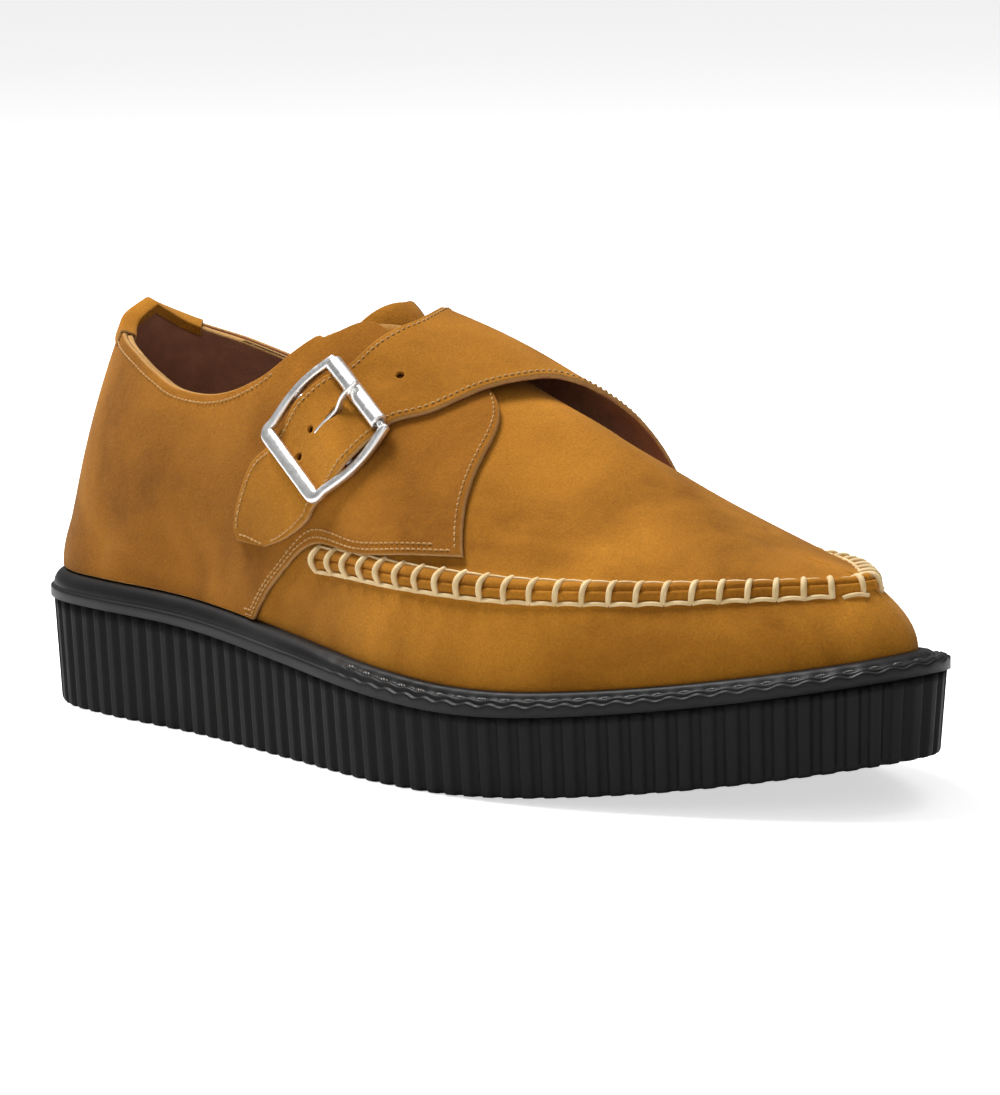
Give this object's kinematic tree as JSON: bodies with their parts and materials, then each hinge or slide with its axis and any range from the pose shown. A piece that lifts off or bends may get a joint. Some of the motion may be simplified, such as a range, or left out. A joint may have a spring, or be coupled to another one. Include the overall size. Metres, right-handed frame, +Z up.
{
  "type": "creeper shoe",
  "caption": "Right creeper shoe: suede upper with a raised apron seam and a buckled strap over the instep, on a thick ribbed rubber platform sole.",
  "frame": {"origin": "on the floor under the middle of the sole's length, on the line from the heel's to the toe's widest reach", "axes": "+X towards the toe, +Y towards the inner side of this right shoe, +Z up"},
  "size_m": [0.3018, 0.1142, 0.1194],
  "materials": {
    "sole_rubber": "matt black moulded rubber with upright ribs",
    "welt_rubber": "smooth dark grey rubber strip, half gloss, stitched down",
    "insole_board": "brown leather sock on a board",
    "suede_vamp": "golden tan suede outside, dusty brown leather lining inside, cream hand stitch on the apron",
    "suede_tongue": "golden tan suede",
    "suede_quarter": "golden tan suede, stitched edges",
    "suede_strap": "golden tan suede, stitched edges, punched holes",
    "suede_tab": "golden tan suede",
    "buckle_metal": "polished bright metal",
    "roller_metal": "polished bright metal",
    "prong_metal": "polished bright metal"
  },
  "bodies": {
    "root": {"sole": "sole_rubber", "welt": "welt_rubber", "insole": "insole_board", "upper": "suede_vamp", "tongue": "suede_tongue", "lateral_quarter": "suede_quarter", "medial_quarter_strap": "suede_strap", "heel_tab": "suede_tab", "buckle_frame": "buckle_metal", "buckle_roller": "roller_metal", "buckle_prong": "prong_metal"}
  },
  "joints": []
}
